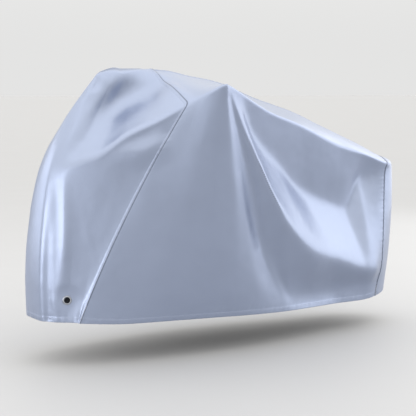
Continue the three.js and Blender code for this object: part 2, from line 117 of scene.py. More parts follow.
# Each fold's name, its share on the far side, and the places it runs through: section, level,
# height, and half width on its left and right, seen from outside. A trough's height is below 0.
FOLD_ROWS = (
    ("slope ridge", 0.7, (
        (2.65, 1.25, 2, 34, 30), (2.67, 1.4, 8, 44, 38), (2.7, 1.62, 15, 44, 48),
        (2.85, 1.76, 22, 50, 58), (3.2, 1.89, 30, 60, 68), (3.85, 1.98, 34, 72, 76),
        (4.6, 2.0, 34, 80, 80), (5.65, 2.0, 29, 80, 80), (6.6, 2.0, 16, 76, 76),
        (7.4, 2.0, 5, 72, 72), (8.2, 2.0, 0, 70, 70),
    )),
    ("slope trough", 0.7, (
        (1.3, 1.24, -1, 22, 22), (1.75, 1.43, -5, 24, 24), (2.1, 1.64, -4, 24, 24),
        (2.3, 1.8, -1, 22, 22),
    )),
    ("under the brow", 0.8, (
        (3.0, 0.97, 0, 20, 30), (4.15, 0.94, -1, 20, 30), (5.35, 0.95, -2, 18, 26),
        (6.7, 0.985, 0, 14, 20),
    )),
    ("second brow", 0.6, (
        (4.4, 0.93, 0, 30, 40), (5.2, 0.88, 6, 36, 54), (5.8, 0.85, 12, 38, 54),
        (6.4, 0.84, 10, 36, 50), (6.9, 0.86, 0, 30, 30),
    )),
    ("corner strip", 0.8, (
        (2.4, 0.98, 2, 44, 16), (2.5, 0.72, 8, 46, 18), (2.5, 0.5, 10, 48, 19),
        (2.45, 0.3, 6, 48, 24), (2.4, 0.16, 2, 48, 30), (2.4, 0.04, 1, 48, 30),
    )),
    ("front valley", 0.7, (
        (1.5, 0.78, 0, 20, 20), (1.47, 0.5, -5, 20, 20), (1.45, 0.3, -7, 20, 20),
        (1.5, 0.02, -7, 20, 20),
    )),
    ("side streak", 0.6, (
        (3.3, 0.78, 0, 16, 16), (4.1, 0.5, 1, 16, 16), (5.45, 0.29, 0, 12, 12),
    )),
    ("peak crease", 0.7, (
        (11.95, 0.95, -3, 8, 14), (12.3, 0.883, -5, 8, 24), (12.75, 0.742, -9, 10, 36),
        (12.95, 0.592, -12, 12, 52), (13.0, 0.442, -13, 14, 64), (13.0, 0.25, -11, 20, 70),
        (13.3, 0.083, -5, 28, 70),
    )),
    ("slope scoop", 0.7, (
        (2.9, 1.3, -2, 36, 44), (3.05, 1.46, -7, 42, 60), (3.35, 1.57, -12, 48, 72),
        (3.8, 1.64, -16, 54, 84), (4.4, 1.68, -19, 56, 90), (5.0, 1.7, -19, 54, 90),
        (5.65, 1.7, -18, 50, 84), (6.3, 1.69, -15, 44, 74), (7.0, 1.67, -9, 38, 64),
        (7.7, 1.64, 0, 34, 56),
    )),
)
FOLD_STEPS = 12
# A fold on the far side reaches its own share this far from the middle plane
FAR_SHARE_BLEND = 140
# Normals at the two ends of the top line, and how near to them they hold fully and a little
TOP_END_NORMALS = {0: (-0.71, 0, 0.71), LAST_SECTION: (0.68, 0, 0.73)}
TOP_END_RADII = (30, 60)
# How far from the middle plane a fold and its mirror image run into each other
MIDDLE_SOFTNESS = 14

# Section and level of the eyelet, and how far its flanges press the cloth flat, fully and a little
EYELET = (2.7, 0.142)
EYELET_RADII = (22, 72)


def steady_slopes(rows):
    """Slopes of a curve through evenly spaced rows that never swings past a row."""
    steps = np.diff(rows, axis=0)
    before, after = steps[:-1], steps[1:]
    same_way = before * after > 0
    slopes = np.zeros_like(rows)
    slopes[1:-1] = np.where(
        same_way, 2 * before * after / np.where(same_way, before + after, 1), 0
    )
    slopes[0], slopes[-1] = steps[0], steps[-1]
    return slopes


def hermite(a, slope_a, b, slope_b, t):
    """Cubic from a to b with the given slopes."""
    return (
        (2 * t**3 - 3 * t**2 + 1) * a
        + (t**3 - 2 * t**2 + t) * slope_a
        + (3 * t**2 - 2 * t**3) * b
        + (t**3 - t**2) * slope_b
    )


COLUMNS = SECTION_COLUMNS + BEND_COLUMNS
SECTION_VALUES = np.hstack(
    [
        np.array([row[1:] for row in SECTION_ROWS], float),
        np.array([BEND_ROWS.get(name, STRAIGHT) for name in SECTION_NAMES], float),
    ]
)
SECTION_SLOPES = steady_slopes(SECTION_VALUES)
# The outline crosses the middle plane squarely, so there only the out columns keep a slope
for column, name in enumerate(COLUMNS):
    if not name.endswith("_out"):
        SECTION_SLOPES[[0, -1], column] = 0


def section_at(section):
    """The table's columns at sections between its rows."""
    place = np.clip(section, 0, LAST_SECTION)
    row = np.minimum(place.astype(int), LAST_SECTION - 1)
    values = hermite(
        SECTION_VALUES[row],
        SECTION_SLOPES[row],
        SECTION_VALUES[row + 1],
        SECTION_SLOPES[row + 1],
        (place - row)[..., None],
    )
    return dict(zip(COLUMNS, np.moveaxis(values, -1, 0)))


def unit(vectors):
    """The vectors at length 1, and those of no length left at 0."""
    return vectors / np.maximum(np.linalg.norm(vectors, axis=-1, keepdims=True), 1e-9)


def outward_at(section):
    """Horizontal direction away from the cover."""
    reach = 0.05
    after, before = section_at(section + reach), section_at(section - reach)
    along_back = sum(after[c] - before[c] for c in ("hem_back", "edge_back"))
    along_out = sum(after[c] - before[c] for c in ("hem_out", "edge_out"))
    return unit(np.stack([-along_out, along_back, 0 * along_back], -1))


def wall_bend(row, s):
    """Offset of a bent wall at height s, from 0 at the hem to 1 at the edge."""
    places = [0 * s, row["tuck_level"], row["swag_level"], row["hollow_level"], 0 * s + 1]
    offsets = [0 * s, row["tuck"], row["swag"], row["hollow"], 0 * s]
    slopes = [
        (offsets[k + 1] - offsets[k]) / (places[k + 1] - places[k]) for k in range(len(places) - 1)
    ]

    def polyline(at):
        total = (slopes[0] + slopes[-1]) / 2 * at
        for k in range(1, len(slopes)):
            soft = np.sqrt((at - places[k]) ** 2 + BEND_SOFTNESS**2)
            total = total + (slopes[k] - slopes[k - 1]) / 2 * (soft - places[k])
        return total

    return polyline(s) - polyline(0 * s) * (1 - s) - polyline(0 * s + 1) * s


def hem_edge_top(row):
    """Corners of sections on the hem, the edge and the top line."""
    hem = np.stack([row["hem_back"], row["hem_out"], row["hem_up"]], -1)
    edge = np.stack([row["edge_back"], row["edge_out"], row["edge_up"]], -1)
    top = np.stack([row["top_back"], 0 * row["top_back"], row["top_up"]], -1)
    return hem, edge, top


def form_points(section, level, bend_share=1.0):
    """Points of the unfolded form, as back, out and up."""
    section, level = np.broadcast_arrays(np.asarray(section, float), np.asarray(level, float))
    row = section_at(section)
    hem, edge, top = hem_edge_top(row)
    outward = outward_at(section)
    chord = top - edge
    lid_length = np.linalg.norm(chord, axis=-1)
    wall_length = np.linalg.norm(edge - hem, axis=-1)
    along = unit(chord)
    lift = unit(np.cross(np.cross(along, [0.0, 0.0, 1.0]), along))

    def wall(s):
        middle = 4 * s * (1 - s)
        offset = row["belly"] * middle + bend_share * wall_bend(row, s)
        bow = np.stack([row["bow"] * middle, 0 * s, 0 * s], -1)
        return hem + (edge - hem) * s[..., None] + offset[..., None] * outward + bow

    def lid(s):
        return edge + chord * s[..., None] + (row["dome"] * 4 * s * (1 - s))[..., None] * lift

    past = level - 1
    distance = np.where(past < 0, past * wall_length, past * lid_length)
    reach = np.minimum(row["round"], MOST_ROUND * lid_length)
    flat = np.where((past < 0)[..., None], wall(np.clip(level, 0, 1)), lid(np.clip(past, 0, 1)))
    t = np.clip((distance + reach) / (2 * reach), 0, 1)[..., None]
    rounded = (
        (1 - t) ** 2 * wall(1 - reach / wall_length)
        + 2 * t * (1 - t) * edge
        + t**2 * lid(reach / lid_length)
    )
    return np.where((np.abs(distance) < reach)[..., None], rounded, flat)


def rounded_step(distance, start, end):
    """1 at start and before it, 0 at end and past it, soft between them."""
    t = np.clip((end - distance) / (end - start), 0, 1)
    return t * t * (3 - 2 * t)


def steadied(normals, points):
    """Normals made steady round the ends of the top line, where sections crowd together."""
    for end, normal in TOP_END_NORMALS.items():
        away = np.linalg.norm(points - form_points(end, 2), axis=-1)
        share = rounded_step(away, *TOP_END_RADII)[..., None]
        normals = unit(normals + share * (np.array(normal) - normals))
    return normals


def form_normals(section, level, bend_share=1.0):
    """Outward normals of the unfolded form, lying in the middle plane where the form meets it."""
    section, level = np.broadcast_arrays(np.asarray(section, float), np.asarray(level, float))
    reach = 0.004
    along_section = form_points(section + reach, level, bend_share) - form_points(
        np.maximum(section - reach, 0), level, bend_share
    )
    along_level = form_points(section, np.minimum(level + reach, 2), bend_share) - form_points(
        section, np.maximum(level - reach, 0), bend_share
    )
    normals = np.cross(along_level, along_section)
    in_middle = (section == 0) | (section == LAST_SECTION) | (level == 2)
    normals[..., 1] = np.where(in_middle, 0, normals[..., 1])
    return steadied(unit(normals), form_points(section, level, bend_share))


def smooth_run(rows, t):
    """Values of a smooth curve through rows of numbers, with t from 0 to 1."""
    rows = np.asarray(rows, float)
    last = len(rows) - 1
    slopes = np.gradient(rows, axis=0)
    i = np.minimum((t * last).astype(int), last - 1)
    return hermite(rows[i], slopes[i], rows[i + 1], slopes[i + 1], (t * last - i)[:, None])


def fold_heights(points, places, bend_share):
    """Height of one fold at the points: a soft bump square to the nearest part of its path."""
    t = np.linspace(0, 1, FOLD_STEPS * (len(places) - 1) + 1)
    run = smooth_run(places, t)
    path = form_points(run[:, 0], run[:, 1], bend_share)
    normals = form_normals(run[:, 0], run[:, 1], bend_share)
    reach = 3 * run[:, 3:].max()
    is_near = ((points > path.min(0) - reach) & (points < path.max(0) + reach)).all(-1)
    spots = points[is_near]
    spots[:, 1] = np.hypot(spots[:, 1], MIDDLE_SOFTNESS)
    nearest = np.full(len(spots), np.inf)
    values = np.ones((len(spots), 3))
    lean = np.zeros(len(spots))
    for k in range(len(t) - 1):
        step = path[k + 1] - path[k]
        left = unit(np.cross(step, normals[k]))
        share = np.clip((spots - path[k]) @ step / max(step @ step, 1e-9), 0, 1)
        away = spots - path[k] - share[:, None] * step
        squared = (away**2).sum(-1)
        closer = squared < nearest
        nearest = np.where(closer, squared, nearest)
        here = run[k, 2:] + (run[k + 1, 2:] - run[k, 2:]) * share[:, None]
        values = np.where(closer[:, None], here, values)
        lean = np.where(closer, (away @ left) / (np.sqrt(squared) + 1e-6), lean)
    height, left_width, right_width = values.T
    width = right_width + (left_width - right_width) * (0.5 + 0.5 * lean)
    heights = np.zeros(points.shape[:-1])
    heights[is_near] = height * np.exp(-nearest / width**2)
    return heights


def press_flat(points):
    """The cloth lies flat round the eyelet, where the crimped flanges press it."""
    centre, normal = form_points(*EYELET), form_normals(*EYELET)
    off = points - centre
    height = off @ normal
    radius = np.linalg.norm(off - height[..., None] * normal, axis=-1)
    share = rounded_step(radius, *EYELET_RADII)
    return points - (height * share)[..., None] * normal


def cloth_points(section, level, is_far=False):
    """Points of the folded cloth, as back, out and up."""
    bend_share = FAR_BEND_SHARE if is_far else 1.0
    points = form_points(section, level, bend_share)
    total = np.zeros(points.shape[:-1])
    for _, far_share, places in FOLD_ROWS:
        share = fold_share(points, far_share) if is_far else 1.0
        total = total + share * fold_heights(points, places, bend_share)
    normals = form_normals(section, level, bend_share)
    return press_flat(points + total[..., None] * normals)


def fold_share(points, far_share):
    """A fold's share on the far side, growing from the near side's away from the middle plane."""
    return far_share + (1 - far_share) * rounded_step(points[..., 1], 0, FAR_SHARE_BLEND)


# The frame's origin is under the middle of the cover's box
MIDDLE_BACK = 901

# Lines of the mesh beside a seam and above the hem, by their distance in millimetres
SEAM_LINES = (0, 0.8, 2, 3, 4, 6, 8, 9, 10, 11, 12.5, 14, 17, 22, 28)
HEM_LINES = (0, 0.8, 2.5, 6, 11, 15, 17, 18, 19, 20, 21.5, 24, 30)
TOP_LINES = SEAM_LINES[::-1]
# A short row of the mesh keeps the lines this near to a seam, and draws the others together
SEAM_LINE_KEPT = 10
# A seam's lines take up no more than this share of a row
SEAM_LINE_SHARE = 0.4
SEAM_GAP = 0.3

# Rows of stitches, by their distance from the edge in millimetres
STITCH_ROWS = (3, 9)
HEM_STITCH_ROWS = (18,)

# What sewing does to the cloth beside it, in millimetres: how softly its layers end, the depth and
# reach of its edge, the depth and half width of its stitched grooves, and its puckers' share and
# reach. Each wave of the puckers has its length, its share, its turn with the seed, and its start.
SEAM = {
    "end": 2, "edge": (0.5, 1.2), "groove": (0.35, 0.9), "rows": STITCH_ROWS, "puckers": (0.5, 22),
    "waves": ((19, 1.0, 1.0, 0), (31, 0.7, 2.1, 1), (12.4, 0.5, 0.7, 2)),
}
HEM = {
    "end": 1.5, "edge": (0.4, 1.5), "groove": (0.4, 1.0), "rows": HEM_STITCH_ROWS,
    "puckers": (0.6, 34), "waves": ((27, 1.0, 1.0, 0), (43, 0.8, 1.7, 0)),
}

# Low waves of the hanging cloth: height and size in millimetres, and seed
CLOTH_WAVES = ((1.2, 90, 2), (0.4, 34, 5))

# How far the painted shade beside a seam reaches, fully and a little, on the lap and beside it
LAP_PAINTED_SHADE = (0.3, 1.2)
STEP_PAINTED_SHADE = (2.5, 5.5)

# Each edge of a panel's grid, and the line next to it
EDGE_LINES = {
    "first": (np.s_[0, :], np.s_[1, :]),
    "last": (np.s_[-1, :], np.s_[-2, :]),
    "top": (np.s_[:, -1], np.s_[:, -2]),
}

# The near and the far side, by whether each is far
BOTH_SIDES = (False, True)

# Each panel's sections, and which of its edges are sewn on top of the next panel
PANELS = {
    "front": {"first": 0, "last": FRONT_SEAM, "lapped": ("last",), "joined": ("first", "top")},
    "side": {"first": FRONT_SEAM, "last": REAR_SEAM, "lapped": ("top",), "joined": ()},
    "rear": {"first": REAR_SEAM, "last": LAST_SECTION, "lapped": ("first",),
             "joined": ("last", "top")},
}


def linear_colour(hex_colour):
    """Linear RGBA of an sRGB hex colour."""
    channels = [int(hex_colour[k : k + 2], 16) / 255 for k in (1, 3, 5)]
    linear = [c / 12.92 if c <= 0.04045 else ((c + 0.055) / 1.055) ** 2.4 for c in channels]
    return (*linear, 1.0)


def length_setting(name, description, default, low, high):
    """A length that the user may change, in millimetres."""
    return bpy.props.FloatProperty(
        name=name, description=f"{description}, in millimetres", default=default, min=low, max=high
    )


def colour_setting(name, description, hex_colour):
    """A colour that the user may change."""
    return bpy.props.FloatVectorProperty(
        name=name, description=description, subtype="COLOR", size=4,
        default=linear_colour(hex_colour), min=0, max=1,
    )


class CoverClothSettings(bpy.types.PropertyGroup):
    """Sizes of the cloth, its seams and its hem."""

    cell: length_setting("Cell", "Longest side of the mesh's cells", 9.0, 4.0, 30.0)
    thickness: length_setting("Thickness", "Thickness of the cloth", 1.0, 0.3, 3.0)
    lap_width: length_setting("Lap width", "Width of a lapped seam", 11.0, 6.0, 20.0)
    lap_height: length_setting("Lap height", "How far a lapped seam stands out", 1.3, 0.2, 3.0)
    hem_width: length_setting("Hem width", "Width of the turned hem", 20.0, 10.0, 40.0)
    hem_height: length_setting("Hem height", "Extra thickness of the turned hem", 0.7, 0.0, 2.0)
    pucker: length_setting("Pucker", "Height of the small puckers beside sewing", 0.8, 0.0, 3.0)
    stitch_length: length_setting("Stitch length", "Length of one stitch", 3.0, 1.5, 6.0)
    stitch_pitch: length_setting("Stitch pitch", "Distance from stitch to stitch", 4.2, 2.0, 8.0)


class CoverEyeletSettings(bpy.types.PropertyGroup):
    """Sizes of the crimped eyelets."""

    hole_radius: length_setting("Hole radius", "Radius of the hole", 12.0, 4.0, 20.0)
    flange_radius: length_setting("Flange radius", "Radius of the outer flange", 18.5, 8.0, 30.0)
    flange_height: length_setting("Flange height", "Height of the rolled flange", 1.6, 0.5, 4.0)


class CoverColourSettings(bpy.types.PropertyGroup):
    """Colours of the cloth, the thread, the metal and the floor."""

    coating: colour_setting("Coating", "Colour of the silvery coating", "#98A2B9")
    # The back is partly the cloth's own grey and partly painted shade, darker for the dim inside of
    # the cover
    back: colour_setting("Back of the cloth", "Colour of the cloth's uncoated back", "#3C3F47")
    thread: colour_setting("Thread", "Colour of the sewing thread", "#9AA3B6")
    plating: colour_setting("Plating", "Colour of the eyelets' nickel plating", "#9EA2AA")
    floor: colour_setting("Floor", "Colour of the studio floor", "#B2B3B6")


def add_node(tree, kind, settings={}, links={}):
    """Adds a shader node with its settings and links, and gives the node back."""
    node = tree.nodes.new("ShaderNode" + kind)
    for name, value in settings.items():
        if hasattr(node, name):
            setattr(node, name, value)
        else:
            node.inputs[name].default_value = value
    for place, socket in links.items():
        tree.links.new(socket, node.inputs[place])
    return node


def new_material(name, settings):
    """A material with its shader's constants set, and its tree and shader."""
    material = bpy.data.materials.new(name)
    material.use_nodes = True
    tree = material.node_tree
    shader = tree.nodes["Principled BSDF"]
    for socket, value in settings.items():
        shader.inputs[socket].default_value = value
    return material, tree, shader


def vary_gloss(tree, shader, noise_settings, low, high):
    """Lets the roughness drift between two values over an object, and gives the noise back."""
    place = add_node(tree, "TexCoord")
    drift = add_node(tree, "TexNoise", noise_settings, {"Vector": place.outputs["Object"]})
    rough = {"To Min": low, "To Max": high}
    gloss = add_node(tree, "MapRange", rough, {"Value": drift.outputs["Fac"]})
    tree.links.new(gloss.outputs["Result"], shader.inputs["Roughness"])
    return drift


# Blender's wave texture draws this many bands a metre at scale 1
WAVE_BANDS = 3.18


def coated_weave(name, settings, tint, weave_strength):
    """A plain weave of threads with slow changes of tone and gloss, as a coat is spread; seams get
    painted shade.
    """
    material, tree, shader = new_material(name, settings)
    # The real threads lie 0.3 mm apart, too fine to show, so the weave is drawn at 1.6 mm
    thread_spacing = 1.6 * MM
    place = add_node(tree, "TexCoord")
    threads = 1 / (2 * thread_spacing)
    yarns = {}
    for k, direction in enumerate("XY"):
        weave = {"wave_type": "BANDS", "Scale": threads / WAVE_BANDS, "bands_direction": direction}
        yarn = add_node(tree, "TexWave", weave, {"Vector": place.outputs["UV"]})
        yarns[k] = yarn.outputs["Fac"]
    over = add_node(tree, "Math", {"operation": "MAXIMUM"}, yarns)
    relief = {"Strength": weave_strength, "Distance": 0.25 * MM}
    bump = add_node(tree, "Bump", relief, {"Height": over.outputs["Value"]})
    tree.links.new(bump.outputs["Normal"], shader.inputs["Normal"])
    # The coat's tone drifts over about 120 mm
    spread = {"Scale": 1 / (120 * MM), "Detail": 2.0, "Roughness": 0.5}
    middle = settings["Roughness"]
    drift = vary_gloss(tree, shader, spread, middle - 0.03, middle + 0.03)
    tones = {"To Min": 0.96, "To Max": 1.04}
    tone = add_node(tree, "MapRange", tones, {"Value": drift.outputs["Fac"]})
    # Painted shade, with a little dust: the colour darkens in the step beside a lapped seam, where its
    # shadow falls
    seam = add_node(tree, "Attribute", {"attribute_name": "seam_shade"})
    painted_shades = {"To Min": 1.0, "To Max": 0.5}
    dust_and_painted_shade = add_node(tree, "MapRange", painted_shades, {"Value": seam.outputs["Fac"]})
    both = {0: tone.outputs["Result"], 1: dust_and_painted_shade.outputs["Result"]}
    tone_and_painted_shade = add_node(tree, "Math", {"operation": "MULTIPLY"}, both)
    tinting = {"data_type": "RGBA", "blend_type": "MULTIPLY", "Factor": 1.0}
    colour = add_node(tree, "Mix", tinting, {7: tone_and_painted_shade.outputs["Value"]})
    colour.inputs[6].default_value = tint
    tree.links.new(colour.outputs[2], shader.inputs["Base Color"])
    return material


def coated_polyester(tint):
    """Polyester plain weave with a silver-pigmented polyurethane coat: a soft satin sheen."""
    return coated_weave("coated_polyester", {"Metallic": 0.85, "Roughness": 0.36}, tint, 0.12)


def uncoated_back_with_painted_shade(tint):
    """The same cloth's uncoated inner face: dull, with the bare yarn showing, its grey darkened with
    painted shade for the dim inside.
    """
    return coated_weave("uncoated_polyester_back", {"Metallic": 0.0, "Roughness": 0.75}, tint, 0.3)


def polyester_thread(tint):
    """Spun polyester sewing thread: a soft shine along its twist."""
    yarn = {"Base Color": tint, "Roughness": 0.5}
    material, tree, shader = new_material("polyester_thread", yarn)
    place = add_node(tree, "TexCoord")
    # Thread of this weight has a twist every 0.9 mm
    turns = {
        "wave_type": "BANDS", "bands_direction": "DIAGONAL", "Scale": 1 / (0.9 * MM) / WAVE_BANDS,
    }
    twist = add_node(tree, "TexWave", turns, {"Vector": place.outputs["Object"]})
    relief = {"Strength": 0.4, "Distance": 0.1 * MM}
    bump = add_node(tree, "Bump", relief, {"Height": twist.outputs["Fac"]})
    tree.links.new(bump.outputs["Normal"], shader.inputs["Normal"])
    return material


def nickel_plate(tint):
    """Stamped brass with satin nickel plating, rubbed a little along the roll."""
    metal = {"Base Color": tint, "Metallic": 1.0, "Roughness": 0.3}
    material, tree, shader = new_material("nickel_plated_brass", metal)
    # Rubbing marks about 4 mm apart
    vary_gloss(tree, shader, {"Scale": 1 / (4 * MM), "Detail": 4.0}, 0.22, 0.42)
    return material


def studio_floor(tint):
    """Painted studio floor: pale and nearly matte, with a faint unevenness."""
    material, tree, shader = new_material("studio_floor", {"Base Color": tint, "Roughness": 0.6})
    # The paint's gloss drifts over about 400 mm
    vary_gloss(tree, shader, {"Scale": 1 / (400 * MM)}, 0.55, 0.65)
    return material


@cache
def made_once(maker, colour):
    """The maker's material in a colour of the settings, made once."""
    return maker(tuple(getattr(bpy.context.scene.cover_colours, colour)))


def running_lengths(points, axis=0):
    """Length along each line of points, up to each point."""
    steps = np.linalg.norm(np.diff(points, axis=axis), axis=-1)
    return np.insert(np.cumsum(steps, axis=axis), 0, 0, axis=axis)


def section_lines(panel, levels, cell):
    """Sections of the mesh's lines at each level, spread by length along the cloth."""
    first, last = panel["first"], panel["last"]
    per_section = 32
    samples = np.linspace(first, last, per_section * (last - first) + 1)
    lengths = running_lengths(form_points(samples[:, None], levels[None, :]))
    # Nine rows out of ten are no longer than this
    long_row = np.percentile(lengths[-1], 90)
    count = math.ceil(long_row / cell)
    lines = np.empty((2 * len(SEAM_LINES) + count - 1, len(levels)))
    for j, total in enumerate(lengths[-1]):
        spare = SEAM_LINE_SHARE * total - SEAM_LINE_KEPT
        room = min(spare / (SEAM_LINES[-1] - SEAM_LINE_KEPT), 1)
        past = np.maximum(np.subtract(SEAM_LINES, SEAM_LINE_KEPT), 0)
        fine = np.minimum(SEAM_LINES, SEAM_LINE_KEPT) + room * past
        between = np.linspace(fine[-1], total - fine[-1], count + 1)[1:-1]
        places = np.concatenate([fine, between, total - fine[::-1]])
        lines[:, j] = np.interp(places, lengths[:, j], samples)
    return lines


def wall_and_lid(section):
    """Lengths of the wall and of the lid at sections."""
    hem, edge, top = hem_edge_top(section_at(section))
    return np.linalg.norm(edge - hem, axis=-1), np.linalg.norm(top - edge, axis=-1)


def level_lines(panel, cell):
    """Levels of the mesh's lines at its tallest section."""
    sections = np.linspace(panel["first"], panel["last"], 9)
    wall, lid = (lengths.max() for lengths in wall_and_lid(sections))
    up = np.linspace(HEM_LINES[-1] / wall, 1, math.ceil(wall / cell) + 1)[1:]
    over = np.linspace(1, 2 - TOP_LINES[0] / lid, math.ceil(lid / cell) + 1)[1:-1]
    return np.concatenate([np.array(HEM_LINES) / wall, up, over, 2 - np.array(TOP_LINES) / lid])


def fitted_levels(panel, levels, sections):
    """The mesh's levels at its sections, with the lines by the hem and a sewn top kept in mm."""
    wall, lid = wall_and_lid(sections)
    hem = np.array(HEM_LINES) / wall[..., : len(HEM_LINES)]
    top = 2 - np.array(TOP_LINES) / lid[..., -len(TOP_LINES) :]
    middle = levels[len(HEM_LINES) : -len(TOP_LINES)]
    up = 1 - (1 - middle) * (1 - hem[..., -1:]) / (1 - levels[len(HEM_LINES) - 1])
    over = 1 + (middle - 1) * (top[..., :1] - 1) / (levels[-len(TOP_LINES)] - 1)
    fitted = np.concatenate([hem, np.where(middle <= 1, up, over), top], axis=-1)
    return np.where(levels > 1, levels, fitted) if "top" in panel["joined"] else fitted


def grid_normals(points):
    """Outward normals of a grid of back, out and up, one for each of its points."""
    along_section = np.gradient(points, axis=0)
    along_level = np.gradient(points, axis=1)
    return unit(np.cross(along_level, along_section))


def soft_noise(points, size, seed):
    """Smooth noise from -1 to 1 with bumps of the given size in millimetres."""
    offset = Vector((seed * 17.0, seed * 5.0, seed * 11.0))
    values = [noise.noise(Vector(p) / size + offset) for p in points.reshape(-1, 3)]
    return np.array(values).reshape(points.shape[:-1])


def sewn_relief(distance, along, sewing, layers, pucker, seed):
    """Height that sewing adds beside it: its layers of cloth, its grooves and its puckers."""
    share, reach = sewing["puckers"]
    waves = sum(
        part * np.sin(along * 2 * math.pi / length + turn * seed + start)
        for length, part, turn, start in sewing["waves"]
    )
    relief = share * pucker * waves * np.exp(-((distance / reach) ** 2))
    if layers:
        width, height = layers
        edge_depth, edge_reach = sewing["edge"]
        depth, groove = sewing["groove"]
        relief += height * rounded_step(distance, width - 1, width + sewing["end"])
        relief -= edge_depth * rounded_step(distance, 0, edge_reach)
        for row in sewing["rows"]:
            relief -= depth * np.exp(-(((distance - row) / groove) ** 2))
    return relief


@cache
def panel_grid(name, is_far):
    """Points, normals, lengths along the cloth and painted seam shade of one side of a panel, in mm.
    """
    settings = bpy.context.scene.cover_cloth
    panel = PANELS[name]
    levels = level_lines(panel, settings.cell)
    sections = section_lines(panel, levels, settings.cell)
    points = cloth_points(sections, fitted_levels(panel, levels, sections), is_far)
    across, upward = running_lengths(points), running_lengths(points, 1)
    seed = 1.0 + 3.0 * is_far
    hem = settings.hem_width, settings.hem_height
    relief = sewn_relief(upward, across, HEM, hem, settings.pucker, seed)
    distances = {"first": across, "last": across[-1:] - across, "top": upward[:, -1:] - upward}
    # Painted shade from 0 to 1, darkest in the step beside each sewn edge
    shade = np.zeros_like(relief)
    for edge, distance in distances.items():
        if edge in panel["joined"]:
            continue
        along = across if edge == "top" else upward
        # The left panel's top edge lies on the right one's
        lapped = edge in panel["lapped"] and not (edge == "top" and is_far)
        lap = (settings.lap_width, settings.lap_height) if lapped else None
        relief = relief + sewn_relief(distance, along, SEAM, lap, settings.pucker, seed)
        reach = LAP_PAINTED_SHADE if lapped else STEP_PAINTED_SHADE
        shade = np.maximum(shade, rounded_step(distance, *reach))
    for height, size, wave_seed in CLOTH_WAVES:
        relief = relief + height * soft_noise(points, size, wave_seed)
    points = points + relief[..., None] * steady_normals(points, name)
    normals = steady_normals(points, name)
    for line in joined_lines(name):
        points[line][:, 1] = 0
    points = cut_apart(points, panel)
    return {
        "points": points, "normals": normals, "across": across, "upward": upward, "shade": shade,
    }


def steady_normals(points, name):
    """Outward normals of a panel's grid, level where it crosses the middle plane."""
    normals = steadied(grid_normals(points), points)
    for line in joined_lines(name):
        normals[line] *= (1, 0, 1)
        normals[line] = unit(normals[line])
    return normals


def joined_lines(name):
    """Lines of a panel's grid where its two halves are one piece of cloth."""
    return [EDGE_LINES[edge][0] for edge in PANELS[name]["joined"]]


def cut_apart(points, panel):
    """Moves the sewn edges back by half of the gap between the panels."""
    for edge, (rim, inside) in EDGE_LINES.items():
        if edge not in panel["joined"]:
            points[rim] += SEAM_GAP / 2 * unit(points[inside] - points[rim])
    return points


def to_frame(points, is_far):
    """From back, out and up in millimetres to the frame's metres."""
    side = 1 if is_far else -1
    placed = np.stack([points[..., 0] - MIDDLE_BACK, side * points[..., 1], points[..., 2]], -1)
    return placed * MM


def to_frame_direction(normals, is_far):
    """From directions in back, out and up to the frame's."""
    return normals * (1, 1 if is_far else -1, 1)


def patch_faces(ids, is_far):
    """Quads of a grid of vertex numbers, facing out."""
    a, b, c, d = ids[:-1, :-1], ids[1:, :-1], ids[1:, 1:], ids[:-1, 1:]
    corners = (a, d, c, b) if is_far else (a, b, c, d)
    return np.stack([corner.ravel() for corner in corners], -1)


def new_object(name, data):
    """An object in the scene that holds the data."""
    made = bpy.data.objects.new(name, data)
    bpy.context.scene.collection.objects.link(made)
    return made


def new_piece(name, vertices, faces, *materials):
    """A smooth object from its vertices in the frame's metres and its faces."""
    mesh = bpy.data.meshes.new(name)
    mesh.from_pydata(vertices, [], faces)
    mesh.shade_smooth()
    for material in materials:
        mesh.materials.append(material)
    return new_object(name, mesh)


def carried(piece, slot, *nodes):
    """Puts a piece on the one body and hides the CAD nodes it takes the place of; slot is not used."""
    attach(piece, "root")
    if nodes:
        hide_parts(*nodes)


def punch(faces, points, centre, axis, radius):
    """Cuts a round hole, and moves the points at its rim onto its circle."""
    away = points[faces].mean(1) - centre
    flat = away - (away @ axis)[:, None] * axis
    is_near = np.linalg.norm(away, axis=1) < 3 * radius
    is_cut = is_near & (np.linalg.norm(flat, axis=1) < radius)
    rim = np.intersect1d(faces[is_cut], faces[~is_cut])
    spoke = points[rim] - centre
    height = (spoke @ axis)[:, None] * axis
    points = points.copy()
    points[rim] = centre + height + radius * unit(spoke - height)
    return faces[~is_cut], points


